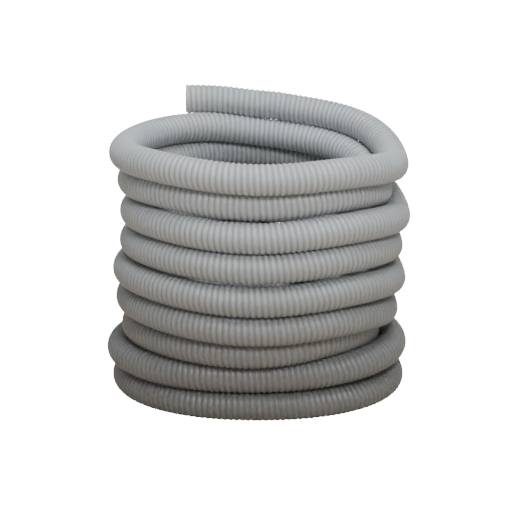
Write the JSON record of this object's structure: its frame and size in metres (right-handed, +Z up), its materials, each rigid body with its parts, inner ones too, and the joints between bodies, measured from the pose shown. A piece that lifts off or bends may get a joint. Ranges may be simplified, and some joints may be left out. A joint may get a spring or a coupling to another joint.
{
  "type": "vacuum hose",
  "caption": "Corrugated flexible plastic suction hose wound into a standing coil, its straight upper end lying free across the top, open and cut off square.",
  "frame": {"origin": "centre of the coil's footprint, on the floor that it stands on", "axes": "+Z up along the coil's axis, -Y towards the front, +Y towards the back where the free end lies, -X the way the free end points"},
  "size_m": [0.4584, 0.4564, 0.4347],
  "materials": {
    "hose": "milky, half-clear plastic, lightly glossy on the ribs"
  },
  "bodies": {
    "turn_9": {"lower_end": "hose", "turn_9_front": "hose", "turn_9_rear": "hose"},
    "turn_8": {"turn_8_front": "hose", "turn_8_rear": "hose"},
    "turn_7": {"turn_7_front": "hose", "turn_7_rear": "hose"},
    "turn_6": {"turn_6_front": "hose", "turn_6_rear": "hose"},
    "turn_5": {"turn_5_front": "hose", "turn_5_rear": "hose"},
    "turn_4": {"turn_4_front": "hose", "turn_4_rear": "hose"},
    "turn_3": {"turn_3_front": "hose", "turn_3_rear": "hose"},
    "turn_2": {"turn_2_front": "hose", "turn_2_rear": "hose"},
    "turn_1": {"turn_1_front": "hose"},
    "free_end_root": {"free_end_root": "hose"},
    "free_end_lower": {"free_end_lower": "hose"},
    "free_end_upper": {"free_end_upper": "hose"},
    "free_end_tip": {"free_end_tip": "hose"}
  },
  "joints": [
    {"name": "turn_8_lift", "type": "slide", "parent": "turn_9", "child": "turn_8", "axis": [0, 0, 1], "range_m": [0, 0.025]},
    {"name": "turn_7_lift", "type": "slide", "parent": "turn_8", "child": "turn_7", "axis": [0, 0, 1], "range_m": [0, 0.025]},
    {"name": "turn_6_lift", "type": "slide", "parent": "turn_7", "child": "turn_6", "axis": [0, 0, 1], "range_m": [0, 0.025]},
    {"name": "turn_5_lift", "type": "slide", "parent": "turn_6", "child": "turn_5", "axis": [0, 0, 1], "range_m": [0, 0.025]},
    {"name": "turn_4_lift", "type": "slide", "parent": "turn_5", "child": "turn_4", "axis": [0, 0, 1], "range_m": [0, 0.025]},
    {"name": "turn_3_lift", "type": "slide", "parent": "turn_4", "child": "turn_3", "axis": [0, 0, 1], "range_m": [0, 0.025]},
    {"name": "turn_2_lift", "type": "slide", "parent": "turn_3", "child": "turn_2", "axis": [0, 0, 1], "range_m": [0, 0.025]},
    {"name": "turn_1_lift", "type": "slide", "parent": "turn_2", "child": "turn_1", "axis": [0, 0, 1], "range_m": [0, 0.025]},
    {"name": "free_end_swing", "type": "hinge", "parent": "turn_1", "child": "free_end_root", "pos_m": [0.226, 0.004, 0.35663], "axis": [0, 0, -1], "range_deg": [0, 20]},
    {"name": "free_end_lift", "type": "hinge", "parent": "free_end_root", "child": "free_end_lower", "pos_m": [0.17074, 0.10257, 0.40517], "axis": [0.866, 0.5, 0], "range_deg": [0, 12]},
    {"name": "free_end_upper_swing", "type": "hinge", "parent": "free_end_lower", "child": "free_end_upper", "pos_m": [0.10548, 0.1867, 0.39943], "axis": [0, 0, -1], "range_deg": [0, 20]},
    {"name": "free_end_tip_lift", "type": "hinge", "parent": "free_end_upper", "child": "free_end_tip", "pos_m": [0, 0.189, 0.43097], "axis": [0, 1, 0], "range_deg": [0, 12]}
  ],
  "couplings": [
    {"joint": "turn_7_lift", "follows": "turn_8_lift", "ratio": 1},
    {"joint": "turn_6_lift", "follows": "turn_8_lift", "ratio": 1},
    {"joint": "turn_5_lift", "follows": "turn_8_lift", "ratio": 1},
    {"joint": "turn_4_lift", "follows": "turn_8_lift", "ratio": 1},
    {"joint": "turn_3_lift", "follows": "turn_8_lift", "ratio": 1},
    {"joint": "turn_2_lift", "follows": "turn_8_lift", "ratio": 1},
    {"joint": "turn_1_lift", "follows": "turn_8_lift", "ratio": 1},
    {"joint": "free_end_upper_swing", "follows": "free_end_swing", "ratio": 1},
    {"joint": "free_end_tip_lift", "follows": "free_end_lift", "ratio": 1}
  ]
}
